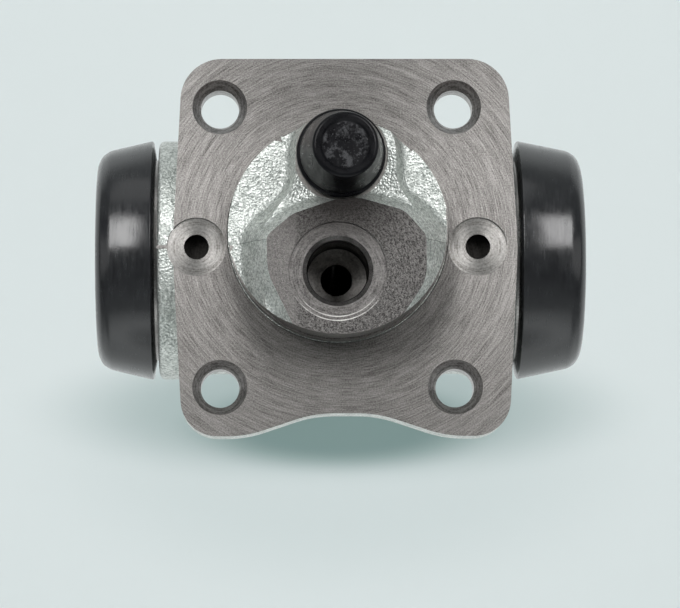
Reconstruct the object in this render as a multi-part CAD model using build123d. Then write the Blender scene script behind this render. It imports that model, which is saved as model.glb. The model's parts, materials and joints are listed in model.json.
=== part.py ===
from build123d import *
import os
from math import cos, pi, radians, sin, tan

os.makedirs("parts", exist_ok=True)

# Brake cylinder with a square flange, in millimetres, Z up.
# X runs along the bore. The machined flange face lies in y = 0 and looks along -Y.
# The origin is the middle of the four flange holes. "Height" below always means the
# distance in front of the flange face, "depth" the distance behind it.

# Flange
flange_thickness = 6.5
flange_half_height = 28.3
flange_half_width = 25.75       # at the parting line, half way up
flange_side_draft = 3.0         # degrees, the sides lean in above and below that line
flange_side_radius = 60.0       # soft bend of the sides at the parting line
flange_top_radius = 6.2
flange_foot_radius = 5.5
arch_height = 3.4               # rise of the concave lower edge
arch_half_width = 4.7
arch_slope = 18.5               # degrees
arch_radius = 18.0
cast_shift = 1.2                # rough casting sits this far right of the machined holes

# Four mounting holes
hole_spacing_x = 35.0
hole_spacing_z = 42.0
hole_radius = 2.88
countersink_radius = 4.1
countersink_depth = 2.4

# Two small dowel holes beside the boss
dowel_spacing = 42.0
dowel_radius = 1.86
dowel_depth = 3.8
spotface_radius = 4.4
spotface_depth = 0.35

# Round boss, turned as a spigot that centres the cylinder in its backing plate
spigot_x = 0.1
spigot_z = 2.1
spigot_radius = 16.35
spigot_relief = 0.25            # above the register the lumps are turned this much smaller
root_groove_width = 0.25
root_groove_floor = 0.1
root_groove_depth = 0.3
root_undercut = 0.3             # the groove's floor runs this far in under the spigot
apron_height = 3.4
shoulder_height = 7.4
port_face_height = 10.2
port_flank_draft = 30.0
shoulder_draft = 15.0
cast_fillet = 1.6
cutter_overrun = 5.0            # cutters and blanks run this far past what they shape

# Inlet port
port_x = -0.1
port_z = -4.7
port_ring_radius = 7.25
port_ring_depth = 0.3
port_thread_radius = 4.6
port_mouth_radius = 5.2
port_thread_depth = 12.4
port_passage_radius = 2.38
port_cone_angle = 59.0          # half angle of the drilled floor

# Corners of the port lump's flat, from the port's centre: (across, up, corner radius)
port_lump_corners = [
    (-10.4, 5.2, 1.5),
    (-6.6, 8.4, 4.0),
    (1.6, 11.2, 8.0),
    (9.8, 8.9, 4.0),
    (13.0, 5.2, 2.0),
    (13.0, -1.3, 6.0),
    (7.1, -10.1, 6.0),
    (0.7, -13.3, 5.0),
    (-5.8, -9.5, 6.0),
    (-10.3, -0.3, 8.0),
]

# Lower corners of the shoulder under it, from the port's centre
shoulder_corners = [
    (-11.5, 6.2, 4.0),
    (-10.4, -7.3, 6.0),
    (0.7, -13.3, 8.0),
    (12.1, -7.3, 6.0),
    (14.7, 5.2, 4.0),
]

# Bleed screw and its hole
bleed_x = 0.4
bleed_z = 12.8
bleed_pedestal_radius = 7.4
bleed_pedestal_x = 1.2
bleed_pedestal_waist = 4.3      # below the screw, the pedestal's sides spread out
bleed_pedestal_flare = 6.0
bleed_seat_rim = 0.4            # cast rim left round the machined seat
bleed_thread_radius = 4.0
bleed_thread_clearance = 0.05
bleed_seat_height = 7.2
bleed_cone_depth = 2.6
bleed_passage_radius = 1.75
hexagon_across_flats = 8.0
hexagon_start = 7.6
hexagon_height = 3.2
nipple_neck_radius = 2.3
nipple_radius = 2.9
nipple_end = 16.6
nipple_bore_radius = 1.1
cross_hole_radius = 0.8
seat_clearance = 0.04

# Rubber cap on the nipple
cap_base_height = 7.9
cap_rim_radius = 6.6
cap_rim_height = 1.7
cap_foot_radius = 6.1
cap_top_radius = 4.75
cap_length = 10.4
cap_skirt_bore = 4.95
cap_nipple_bore = 3.65
cap_top_wall = 1.2
cap_lean = 3.0                  # degrees, the cap sits a little crooked
cap_edge_radius = 0.6

# Barrel and bore
barrel_depth = 18.4
barrel_end_radius = 18.3
barrel_waist_radius = 17.5
barrel_shoulder = 26.9          # half length of the cast barrel
barrel_band = 5.2               # length of the full-size band at each end
barrel_slope = 3.0
neck_length = 4.1
neck_radius = 15.4
boot_groove_offset = 1.5        # from the barrel's shoulder
boot_groove_width = 1.7
boot_groove_depth = 0.9
bore_radius = 12.7
bore_chamfer = 0.8
back_fillet = 2.0
seam_width = 0.5                # thin flash along the parting line, level with the bore
seam_height = 0.12

# Moving parts in the bore
rest_shift = 0.6                # both pistons rest this far to the right
piston_clearance = 0.035
piston_inner = 12.2
skirt_inset = 0.7               # skirt ends this far inside the barrel's end
skirt_chamfer = 1.2
nose_radius = 10.6
nose_reach = 5.4                # nose stands this far out of the barrel
nose_chamfer = 0.8
lip_groove_reach = 0.2
lip_groove_width = 1.5
lip_groove_radius = 9.4
recess_radius = 5.0
recess_depth = 9.0
recess_cone = 3.0
slot_width = 5.2
slot_depth = 3.3

seal_clearance = 0.03
seal_base = 2.2
seal_length = 5.0
seal_lip = 1.4                  # thickness of the lip at its mouth
seal_floor_radius = 9.6
seal_heel = 0.7

seat_radius = 8.9
seat_hole_radius = 2.0
seat_thickness = 0.8
seat_guide_radius = 5.9
seat_guide_height = 2.6

spring_wire = 1.3
spring_radius = 7.0
spring_turns = 6.0
spring_end_turns = 1.0

# Dust boots
boot_lip_gap = 0.5              # from the barrel's shoulder
boot_lip_slant = 0.45
boot_lip_radius = 18.4
boot_wall = 1.7
boot_shoulder_radius = 16.5
boot_round = 3.0
boot_reach = 5.9                # flat end stands this far out past the barrel
boot_mouth_radius = 12.3
boot_clearance = 0.04

barrel_half_length = barrel_shoulder + neck_length
boot_groove_start = barrel_shoulder + boot_groove_offset
nose_end = barrel_half_length + nose_reach
lip_groove_start = barrel_half_length + lip_groove_reach

front = Plane.XZ                # local x = X, local y = Z, grows towards the viewer
bore_axis = Axis((0, barrel_depth, 0), (1, 0, 0))
bore_plane = Plane(origin=(0, barrel_depth, 0), x_dir=(1, 0, 0), z_dir=(0, -1, 0))


def outline(corners):
    """Closed face from corners given as (x, y, radius); a radius of 0 stays sharp."""
    edges = []
    ends = []
    count = len(corners)
    for index, (x, y, radius) in enumerate(corners):
        before = corners[index - 1]
        after = corners[(index + 1) % count]
        to_before = Vector(before[0] - x, before[1] - y).normalized()
        to_after = Vector(after[0] - x, after[1] - y).normalized()
        corner = Vector(x, y)
        if radius == 0:
            ends.append((corner, corner))
            continue
        half_angle = radians(to_before.get_angle(to_after)) / 2
        setback = radius / tan(half_angle)
        middle_way = (to_before + to_after).normalized()
        start = corner + to_before * setback
        finish = corner + to_after * setback
        middle = corner + middle_way * (radius / sin(half_angle) - radius)
        edges.append(ThreePointArc(start, middle, finish))
        ends.append((start, finish))
    for index in range(count):
        start = ends[index - 1][1]
        finish = ends[index][0]
        if (finish - start).length > 1e-6:
            edges.append(Line(start, finish))
    return make_face(edges)


def on_side(corners, side, shift=0):
    """Corners of a right-hand profile placed on one side (+1 right, -1 left)."""
    return [(side * x + shift, radius, rounding) for x, radius, rounding in corners]


def turned_on_bore(corners):
    """Solid of revolution about the bore; corners are (x, radius, corner radius)."""
    return revolve(bore_plane * outline(corners), axis=bore_axis)


def turned_on_front(x, z, corners):
    """Solid of revolution about a line square to the flange at (x, z);
    corners are (radius, height, corner radius)."""
    plane = Plane(origin=(x, 0, z), x_dir=(1, 0, 0), z_dir=(0, 0, -1))
    return revolve(plane * outline(corners), axis=Axis((x, 0, z), (0, -1, 0)))


def hole(x, z, radius, top, bottom):
    """Round cutter square to the flange, between two heights."""
    return turned_on_front(
        x, z, [(0, bottom, 0), (radius, bottom, 0), (radius, top, 0), (0, top, 0)]
    )


def flange_blank(depth):
    """Flange outline, widest at the parting line, with an arched lower edge, carried
    back to a depth."""
    top = flange_half_height
    wide = flange_half_width
    narrow = wide - top * tan(radians(flange_side_draft))
    foot = arch_half_width + arch_height / tan(radians(arch_slope))
    right_half = [
        (arch_half_width, arch_height - top, arch_radius),
        (foot, -top, arch_radius),
        (narrow, -top, flange_foot_radius),
        (wide, 0, flange_side_radius),
        (narrow, top, flange_top_radius),
    ]
    left_half = [(-x, z, rounding) for x, z, rounding in reversed(right_half)]
    face = front * Pos(cast_shift, 0) * outline(right_half + left_half)
    return extrude(face, amount=depth, dir=(0, 1, 0))


def cast_lump(face, height, angle, extra=0):
    """Lump standing on the flange up to a height, its cast sides leaning outwards
    towards the flange; extra carries the same sides on past that height."""
    lump = extrude(front.offset(-1) * face, amount=height + 1 + extra)
    sides = lump.faces().sort_by(Axis.Y)[1:-1]
    return draft(sides, front.offset(height), angle)


def rounded_foot(lump, height):
    """Lump on a wide plate of the given height, its foot rounded into the plate."""
    plate_face = Pos(spigot_x, spigot_z) * Circle(2 * spigot_radius)
    joined = extrude(front * plate_face, amount=height) + lump
    level = joined.edges().filter_by_position(Axis.Y, -height - 0.01, -height + 0.01)
    plate_rim_last = level.sort_by(SortBy.LENGTH)
    return fillet(plate_rim_last[:-1], cast_fillet)


def boss_shape(x, z, radius, top):
    """Plain round blank square to the flange, for trimming the boss to its turned size."""
    return turned_on_front(
        x, z, [(0, -1, 0), (radius, -1, 0), (radius, top, 0), (0, top, 0)]
    )


def make_boss():
    """Cast lumps around both ports, turned to a spigot with a register at its foot."""
    at_port = Pos(port_x, port_z)
    port_face = at_port * outline(port_lump_corners)
    left = bleed_pedestal_x - bleed_pedestal_radius - port_x
    right = bleed_pedestal_x + bleed_pedestal_radius - port_x
    top = bleed_z + bleed_pedestal_radius - port_z
    waist = bleed_z - bleed_pedestal_waist - port_z
    rounding = bleed_pedestal_radius - 0.1
    pedestal = [(right, top, rounding), (left, top, rounding)]
    left_flare = [(left, waist, bleed_pedestal_flare)]
    right_flare = [(right, waist, bleed_pedestal_flare)]
    shoulder_face = at_port * outline(
        pedestal + left_flare + shoulder_corners + right_flare
    )
    shoulder = cast_lump(shoulder_face, shoulder_height, shoulder_draft)
    port = cast_lump(port_face, port_face_height, port_flank_draft)
    rise = port_face_height - shoulder_height
    above_shoulder = cast_lump(shoulder_face, shoulder_height, shoulder_draft, rise)
    lumps = (
        rounded_foot(shoulder, apron_height)
        + rounded_foot(port, apron_height)
        + (rounded_foot(port, shoulder_height) & above_shoulder)
    )
    over = port_face_height + cutter_overrun
    register = boss_shape(spigot_x, spigot_z, spigot_radius, apron_height)
    relieved = boss_shape(spigot_x, spigot_z, spigot_radius - spigot_relief, over)
    return lumps & (register + relieved)


def barrel_outside(raised=0):
    """Right-hand half of the cast barrel's outside, from the waist to the full-size
    band at the end."""
    band_start = barrel_shoulder - barrel_band
    return [
        (band_start - barrel_slope, barrel_waist_radius + raised, 0),
        (band_start, barrel_end_radius + raised, 0),
    ]


def both_halves(half):
    """Whole profile from its right-hand half."""
    return on_side(reversed(half), -1) + half


def make_barrel():
    """Barrel with a waist, and a grooved neck at each end."""
    groove_end = boot_groove_start + boot_groove_width
    groove_radius = neck_radius - boot_groove_depth
    half = barrel_outside() + [
        (barrel_shoulder, barrel_end_radius, 0.8),
        (barrel_shoulder, neck_radius, 0),
        (boot_groove_start, neck_radius, 0),
        (boot_groove_start, groove_radius, 0),
        (groove_end, groove_radius, 0),
        (groove_end, neck_radius, 0),
        (barrel_half_length, neck_radius, 0.4),
        (barrel_half_length, 0, 0),
    ]
    return turned_on_bore(both_halves(half))


def make_seam():
    """Flash along the parting line of the barrel."""
    end = [
        (barrel_shoulder, barrel_end_radius + seam_height, 0),
        (barrel_shoulder, neck_radius, 0),
    ]
    skin = turned_on_bore(both_halves(barrel_outside(seam_height) + end))
    width = 2 * barrel_end_radius + cutter_overrun
    return skin & Pos(0, barrel_depth, 0) * Box(2 * barrel_shoulder, width, seam_width)


def make_rough_casting():
    """Flange and barrel with a cast fillet between them. The fillet is made on a plate
    and a barrel that both run past the flange, then trimmed to the flange's outline and,
    behind the flange, to the barrel's shoulders."""
    past = max(barrel_shoulder, flange_half_width + cast_shift) + cutter_overrun
    blank = turned_on_bore(
        both_halves(barrel_outside() + [(past, barrel_end_radius, 0), (past, 0, 0)])
    )
    plate = Pos(0, flange_thickness / 2, 0) * Box(
        2 * past - 2, flange_thickness, 3 * flange_half_height
    )
    joined = plate + blank
    level = joined.edges().filter_by_position(
        Axis.Y, flange_thickness - 0.01, flange_thickness + 0.01
    )
    seams = [
        edge
        for edge in level
        if abs(edge.center().Z) < barrel_end_radius and abs(edge.center().X) < past - 1.1
    ]
    between_shoulders = Box(2 * barrel_shoulder, 2 * barrel_depth, 3 * flange_half_height)
    filleted = fillet(seams, back_fillet)
    flange = filleted & flange_blank(flange_thickness)
    behind = filleted & flange_blank(barrel_depth) & between_shoulders
    return flange + behind + make_barrel() + make_seam()


def chamfered_bore(half_length):
    """Cutter for the through bore with a lead-in at each end."""
    wide = bore_radius + bore_chamfer
    return turned_on_bore(
        [
            (-half_length - 1, 0, 0),
            (-half_length - 1, wide + 1, 0),
            (-half_length + bore_chamfer, bore_radius, 0),
            (half_length - bore_chamfer, bore_radius, 0),
            (half_length + 1, wide + 1, 0),
            (half_length + 1, 0, 0),
        ]
    )


def make_body():
    """The whole casting with every machined face, hole and groove."""
    body = make_rough_casting()
    body += make_boss()

    # tool relief at the foot of the spigot, undercut so that a plate seats flush
    body -= turned_on_front(
        spigot_x,
        spigot_z,
        [
            (spigot_radius, 0, 0),
            (spigot_radius - root_undercut, -root_groove_depth, 0),
            (spigot_radius + root_groove_floor, -root_groove_depth, 0),
            (spigot_radius + root_groove_width, 0, 0),
            (spigot_radius + root_groove_width, 0.1, 0),
            (spigot_radius, 0.1, 0),
        ],
    )

    # four mounting holes, opened out by a countersink in the flange face
    for x in (-hole_spacing_x / 2, hole_spacing_x / 2):
        for z in (-hole_spacing_z / 2, hole_spacing_z / 2):
            body -= hole(x, z, hole_radius, 1, -flange_thickness - 1)
            body -= turned_on_front(
                x,
                z,
                [
                    (0, -countersink_depth, 0),
                    (hole_radius, -countersink_depth, 0),
                    (countersink_radius, 0, 0),
                    (countersink_radius, 1, 0),
                    (0, 1, 0),
                ],
            )

    # blind dowel holes with their spotfaces
    for x in (-dowel_spacing / 2, dowel_spacing / 2):
        body -= hole(x, 0, dowel_radius, 1, -dowel_depth)
        body -= hole(x, 0, spotface_radius, 1, -spotface_depth)

    # inlet port: spotface, mouth, threaded bore, drilled cone and passage
    ring = port_face_height - port_ring_depth
    mouth = port_mouth_radius - port_thread_radius
    floor = port_face_height - port_thread_depth
    cone = (port_thread_radius - port_passage_radius) / tan(radians(port_cone_angle))
    body -= hole(port_x, port_z, port_ring_radius, ring + 2, ring)
    body -= turned_on_front(
        port_x,
        port_z,
        [
            (0, -barrel_depth, 0),
            (port_passage_radius, -barrel_depth, 0),
            (port_passage_radius, floor - cone, 0),
            (port_thread_radius, floor, 0),
            (port_thread_radius, ring - mouth, 0),
            (port_mouth_radius, ring, 0),
            (port_mouth_radius, ring + 1, 0),
            (0, ring + 1, 0),
        ],
    )

    # bleed screw hole: machined seat, threaded bore, valve cone and passage
    seat_face = bleed_pedestal_radius - bleed_seat_rim
    body -= hole(bleed_x, bleed_z, seat_face, bleed_seat_height + 4, bleed_seat_height)
    cone = bleed_thread_radius - bleed_passage_radius
    body -= turned_on_front(
        bleed_x,
        bleed_z,
        [
            (0, -barrel_depth, 0),
            (bleed_passage_radius, -barrel_depth, 0),
            (bleed_passage_radius, -bleed_cone_depth - cone, 0),
            (bleed_thread_radius, -bleed_cone_depth, 0),
            (bleed_thread_radius, bleed_seat_height - 0.5, 0),
            (bleed_thread_radius + 0.5, bleed_seat_height, 0),
            (bleed_thread_radius + 0.5, bleed_seat_height + 0.1, 0),
            (0, bleed_seat_height + 0.1, 0),
        ],
    )
    return body - chamfered_bore(barrel_half_length)


def make_bleed_screw():
    """Bleed screw: sealing cone, threaded shank, hexagon and hollow nipple."""
    shank = bleed_thread_radius - bleed_thread_clearance
    tip = bleed_passage_radius - 0.7
    relief = shank - 0.9
    gap = seat_clearance * 2**0.5
    cone_start = -bleed_cone_depth - (bleed_thread_radius - relief) + gap
    hexagon_end = hexagon_start + hexagon_height
    screw = turned_on_front(
        bleed_x,
        bleed_z,
        [
            (0, cone_start - (relief - tip), 0),
            (tip, cone_start - (relief - tip), 0),
            (relief, cone_start, 0),
            (relief, -1.2, 0),
            (shank, -0.3, 0),
            (shank, bleed_seat_height - 0.6, 0),
            (shank - 0.6, bleed_seat_height, 0),
            (shank - 0.6, hexagon_start + 0.1, 0),
            (nipple_neck_radius, hexagon_start + 0.1, 0),
            (nipple_neck_radius, nipple_end - 3.2, 0),
            (nipple_radius, nipple_end - 2.6, 0.2),
            (nipple_neck_radius - 0.1, nipple_end, 0.3),
            (0, nipple_end, 0),
        ],
    )
    across_corners = hexagon_across_flats / 2 / cos(pi / 6)
    blank = Pos(bleed_x, bleed_z) * RegularPolygon(across_corners, 6)
    hexagon = extrude(front.offset(hexagon_start) * blank, amount=hexagon_height)
    rounded = turned_on_front(
        bleed_x,
        bleed_z,
        [
            (0, hexagon_start, 0),
            (across_corners - 0.35, hexagon_start, 0),
            (across_corners, hexagon_start + 0.25, 0),
            (across_corners, hexagon_end - 0.25, 0),
            (across_corners - 0.35, hexagon_end, 0),
            (0, hexagon_end, 0),
        ],
    )
    screw += hexagon & rounded
    cross_height = -1.9
    screw -= hole(bleed_x, bleed_z, nipple_bore_radius, nipple_end + 1, cross_height - 0.6)
    cross = Cylinder(cross_hole_radius, 4 * bleed_thread_radius, rotation=(0, 90, 0))
    return screw - Pos(bleed_x, -cross_height, bleed_z) * cross


def make_bleed_cap():
    """Rubber cap: broad rim, tapering body, skirt over the hexagon."""
    base = cap_base_height
    top = base + cap_length
    skirt = hexagon_start + hexagon_height + 0.5
    rim_top = base + cap_rim_height
    cap = turned_on_front(
        bleed_x,
        bleed_z,
        [
            (cap_skirt_bore, base, 0),
            (cap_rim_radius, base, cap_edge_radius),
            (cap_rim_radius, rim_top, cap_edge_radius),
            (cap_foot_radius, rim_top, 0.2),
            (cap_foot_radius, rim_top + 0.8, 0.4),
            (cap_top_radius, top, cap_edge_radius),
            (cap_top_radius - 1.0, top, 0),
            (cap_top_radius - 1.3, top - 0.25, 0),
            (0, top - 0.25, 0),
            (0, top - cap_top_wall, 0),
            (cap_nipple_bore, top - cap_top_wall, 0),
            (cap_nipple_bore, skirt + 0.6, 0),
            (cap_skirt_bore, skirt, 0),
        ],
    )
    return cap.rotate(Axis((bleed_x, -base, bleed_z), (0, 0, 1)), cap_lean)


def make_piston(side):
    """Piston: sealing land, long skirt, nose with boot groove and shoe slot."""
    radius = bore_radius - piston_clearance
    skirt_end = barrel_half_length - skirt_inset
    groove_end = lip_groove_start + lip_groove_width
    profile = [
        (piston_inner, 0, 0),
        (piston_inner, radius - 0.5, 0),
        (piston_inner + 0.5, radius, 0),
        (skirt_end - skirt_chamfer, radius, 0),
        (skirt_end, nose_radius, 0),
        (lip_groove_start, nose_radius, 0),
        (lip_groove_start, lip_groove_radius, 0),
        (groove_end, lip_groove_radius, 0),
        (groove_end, nose_radius, 0),
        (nose_end - nose_chamfer, nose_radius, 0),
        (nose_end, nose_radius - nose_chamfer, 0),
        (nose_end, 0, 0),
    ]
    piston = turned_on_bore(on_side(profile, side, rest_shift))
    slot = Box(2 * slot_depth, slot_width, 3 * nose_radius)
    piston -= Pos(side * nose_end + rest_shift, barrel_depth, 0) * slot
    # lightening hole in the inner end
    recess = [
        (piston_inner - 1, 0, 0),
        (piston_inner - 1, recess_radius, 0),
        (piston_inner + recess_depth, recess_radius, 0),
        (piston_inner + recess_depth + recess_cone, 0, 0),
    ]
    return piston - turned_on_bore(on_side(recess, side, rest_shift))


def make_cup_seal(side):
    """Rubber cup whose lip faces the fluid between the pistons."""
    base_end = piston_inner - seal_clearance
    floor = base_end - seal_base
    mouth = base_end - seal_length
    radius = bore_radius - seal_clearance
    profile = [
        (base_end, 0, 0),
        (base_end, radius - seal_heel, 0.4),
        (base_end - 1.6, radius - 0.25, 0),
        (mouth, radius, 0),
        (mouth, radius - seal_lip, 0.2),
        (floor, seal_floor_radius, 0.6),
        (floor, 0, 0),
    ]
    return turned_on_bore(on_side(profile, side, rest_shift))


def make_spring_seat(side):
    """Pressed steel seat: flat disc with a raised ring that keeps the spring centred."""
    back = piston_inner - 2 * seal_clearance - seal_base
    face = back - seat_thickness
    ring = face - seat_guide_height
    profile = [
        (back, seat_hole_radius, 0),
        (back, seat_radius, 0.2),
        (face, seat_radius, 0.2),
        (face, seat_guide_radius, 0.3),
        (ring, seat_guide_radius - 0.3, 0.2),
        (ring, seat_guide_radius - 1.0, 0.2),
        (back, seat_guide_radius - 0.9, 0),
        (back, seat_guide_radius - 1.6, 0),
        (back - seat_thickness / 2, seat_hole_radius, 0),
    ]
    return turned_on_bore(on_side(profile, side, rest_shift))


def make_spring():
    """Coil spring with one closed turn at each end."""
    reach = piston_inner - 3 * seal_clearance - seal_base - seat_thickness - spring_wire / 2
    end_travel = spring_end_turns * spring_wire * 1.02
    points = []
    steps = 16
    count = int(spring_turns * steps)
    for index in range(count + 1):
        turn = index / steps
        if turn < spring_end_turns:
            along = turn * spring_wire * 1.02
        elif turn > spring_turns - spring_end_turns:
            along = 2 * reach - (spring_turns - turn) * spring_wire * 1.02
        else:
            share = (turn - spring_end_turns) / (spring_turns - 2 * spring_end_turns)
            along = end_travel + share * (2 * reach - 2 * end_travel)
        angle = 2 * pi * turn
        points.append(
            (
                along - reach + rest_shift,
                barrel_depth + spring_radius * sin(angle),
                spring_radius * cos(angle),
            )
        )
    path = Spline(*points)
    start = Plane(origin=path @ 0, z_dir=path % 0)
    return sweep(start * Circle(spring_wire / 2), path=path)


def make_boot(side):
    """Dust boot: lip gripping the neck of the barrel, tapered wall, rounded shoulder,
    flat end folded in to the groove of the piston nose."""
    neck = neck_radius + boot_clearance
    bead = neck_radius - boot_groove_depth + boot_clearance
    bead_start = boot_groove_start + boot_clearance
    bead_end = boot_groove_start + boot_groove_width - boot_clearance
    over_end = barrel_half_length + 0.3
    lip_inner = barrel_shoulder + boot_lip_gap
    face = barrel_half_length + boot_reach + side * rest_shift
    lip_start = lip_groove_start + side * rest_shift + boot_clearance
    lip_end = lip_start + lip_groove_width - 2 * boot_clearance
    lip = lip_groove_radius + boot_clearance
    profile = [
        (lip_inner, neck, 0),
        (lip_inner + boot_lip_slant, boot_lip_radius, 0.3),
        (face, boot_shoulder_radius, boot_round),
        (face, boot_mouth_radius, 0.6),
        (lip_end, nose_radius + 0.9, 0.5),
        (lip_end, lip, 0),
        (lip_start, lip, 0),
        (lip_start, nose_radius + 1.6, 0.8),
        (face - boot_wall, boot_mouth_radius + 1.1, 0.8),
        (face - boot_wall, boot_shoulder_radius - boot_wall, 1.3),
        (over_end, neck + 0.6, 0.5),
        (over_end, neck, 0),
        (bead_end, neck, 0),
        (bead_end, bead, 0),
        (bead_start, bead, 0),
        (bead_start, neck, 0),
    ]
    return turned_on_bore(on_side(profile, side))


shapes = {
    "cylinder_body": make_body(),
    "bleed_screw": make_bleed_screw(),
    "bleed_cap": make_bleed_cap(),
    "expander_spring": make_spring(),
}
for side, word in ((-1, "left"), (1, "right")):
    shapes["piston_" + word] = make_piston(side)
    shapes["cup_seal_" + word] = make_cup_seal(side)
    shapes["spring_seat_" + word] = make_spring_seat(side)
    shapes["dust_boot_" + word] = make_boot(side)

for name, shape in shapes.items():
    shape.label = name
    export_step(shape, "parts/" + name + ".step")
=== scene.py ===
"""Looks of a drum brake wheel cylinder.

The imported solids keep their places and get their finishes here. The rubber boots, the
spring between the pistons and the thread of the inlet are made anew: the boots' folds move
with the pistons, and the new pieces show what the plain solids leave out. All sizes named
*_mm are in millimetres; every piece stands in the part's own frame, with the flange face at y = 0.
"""

import json
import logging
import math
from dataclasses import dataclass
from enum import Enum

import bmesh
import bpy
import numpy as np
from mathutils import Matrix, Vector, noise

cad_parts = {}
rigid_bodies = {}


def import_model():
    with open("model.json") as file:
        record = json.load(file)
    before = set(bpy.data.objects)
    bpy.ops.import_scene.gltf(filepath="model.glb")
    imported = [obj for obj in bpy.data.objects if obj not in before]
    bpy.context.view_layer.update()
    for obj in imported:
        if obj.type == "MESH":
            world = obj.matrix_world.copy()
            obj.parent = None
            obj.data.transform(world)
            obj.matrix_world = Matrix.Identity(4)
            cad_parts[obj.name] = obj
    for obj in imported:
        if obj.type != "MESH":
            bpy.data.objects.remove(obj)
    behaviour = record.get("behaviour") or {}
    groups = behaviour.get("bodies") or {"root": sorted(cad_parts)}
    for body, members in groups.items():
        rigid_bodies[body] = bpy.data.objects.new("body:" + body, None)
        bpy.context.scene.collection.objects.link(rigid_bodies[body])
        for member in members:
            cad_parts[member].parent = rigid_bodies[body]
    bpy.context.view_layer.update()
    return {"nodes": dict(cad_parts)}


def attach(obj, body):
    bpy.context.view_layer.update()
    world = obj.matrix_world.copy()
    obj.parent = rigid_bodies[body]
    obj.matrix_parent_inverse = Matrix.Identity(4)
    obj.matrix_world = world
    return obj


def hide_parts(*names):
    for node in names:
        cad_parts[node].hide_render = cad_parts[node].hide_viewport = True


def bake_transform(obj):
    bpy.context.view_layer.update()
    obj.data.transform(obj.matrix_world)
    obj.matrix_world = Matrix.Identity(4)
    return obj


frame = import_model()

LOG = logging.getLogger("brake_cylinder")
MM = 0.001
QUARTER_TURN = math.pi / 2
BORE_DEPTH_MM = 18.4            # bore axis behind the flange face
INLET_MM = (-0.1, -4.7)         # x and z of the inlet's axis
BLEED_MM = (0.4, 12.8)          # x and z of the bleed screw's axis
SHOULDER_MM = 26.9              # where the barrel steps down to its turned neck
SPRING_MIDDLE_MM = 0.6          # both pistons rest this far to the right
CREASE_DEG = 38                 # a fold sharper than this shows as an edge
SAME_POINT = 1e-7               # points nearer than this, in metres, are one
LEFT, RIGHT = -1, 1

Point = tuple[float, float, float]
Pair = tuple[float, float]
Tree = bpy.types.NodeTree
Socket = bpy.types.NodeSocket


def linear(hex_colour: str) -> tuple[float, float, float, float]:
    """Turns an sRGB hex colour into the linear one that shaders take.

    Args:
        hex_colour: Colour such as "#a0b0c0".

    Returns:
        Linear red, green, blue and an alpha of 1.
    """
    channels = [int(hex_colour[i : i + 2], 16) / 255 for i in (1, 3, 5)]
    curve = [c / 12.92 if c <= 0.04045 else ((c + 0.055) / 1.055) ** 2.4 for c in channels]
    return (*curve, 1.0)


def add_node(
    tree: Tree, kind: str, links: dict | None = None, gives: str | None = None, **settings: object
) -> Socket:
    """Adds a shader node, sets it up and links what feeds it.

    Args:
        tree: Tree that gets the node.
        kind: Blender's name of the node, without the word ShaderNode before it.
        links: Socket name or number to what feeds it, a socket or a plain value.
        gives: Name of the output that is used, if it isn't the first one.
        **settings: The node's own properties.

    Returns:
        The node's output.
    """
    made = tree.nodes.new(f"ShaderNode{kind}")
    for name, value in settings.items():
        setattr(made, name, value)
    for socket, source in (links or {}).items():
        if isinstance(source, Socket):
            tree.links.new(source, made.inputs[socket])
        else:
            made.inputs[socket].default_value = source
    return made.outputs[gives] if gives else next(o for o in made.outputs if o.enabled)


def new_material(name: str) -> tuple[bpy.types.Material, Tree, bpy.types.Node]:
    """Starts a material with a plain shader.

    Args:
        name: Name of the real material and how it was made.

    Returns:
        The material, its tree and its shader node.
    """
    material = bpy.data.materials.new(name)
    material.use_nodes = True
    tree = material.node_tree
    return material, tree, tree.nodes["Principled BSDF"]


def millimetres(
    tree: Tree, centre_mm: Point = (0, 0, 0), turn: Point = (0, 0, 0), folded: bool = False
) -> Socket:
    """Gives a pattern the piece's own coordinates, in millimetres about a centre.

    Args:
        tree: Tree that gets the nodes.
        centre_mm: Centre of the pattern.
        turn: Angles that lay the pattern's axis along local Y.
        folded: Whether the pattern repeats in all four quarters of the part.

    Returns:
        Socket with the coordinates.
    """
    place = add_node(tree, "TexCoord", gives="Object")
    if folded:
        place = add_node(tree, "VectorMath", {0: place}, operation="ABSOLUTE")
    centre = [c * MM for c in centre_mm]
    links = {"Vector": place, "Location": centre, "Rotation": turn, "Scale": (MM, MM, MM)}
    return add_node(tree, "Mapping", links, vector_type="TEXTURE")


def spot(
    tree: Tree,
    place: Socket,
    middle: Point | Vector,
    half: Point | Vector,
    fade: Pair,
    most: float = 1.0,
    **settings: object,
) -> Socket:
    """Tells how far within an oval spot each place lies.

    Args:
        tree: Tree that gets the nodes.
        place: Coordinates of the places.
        middle: Centre of the spot.
        half: Its half size along each axis.
        fade: Shares of that size where it starts to fade and where it ends.
        most: Its value in the middle.
        **settings: The way in which it fades.

    Returns:
        Socket with that value, 0 outside the spot.
    """
    links = {"Vector": place, "Location": middle, "Scale": half}
    inside = add_node(tree, "Mapping", links, vector_type="TEXTURE")
    reach = add_node(tree, "VectorMath", {0: inside}, operation="LENGTH")
    start, end = fade
    links = {"Value": reach, "From Min": start, "From Max": end, "To Min": most, "To Max": 0.0}
    return add_node(tree, "MapRange", links, **settings)


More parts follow.
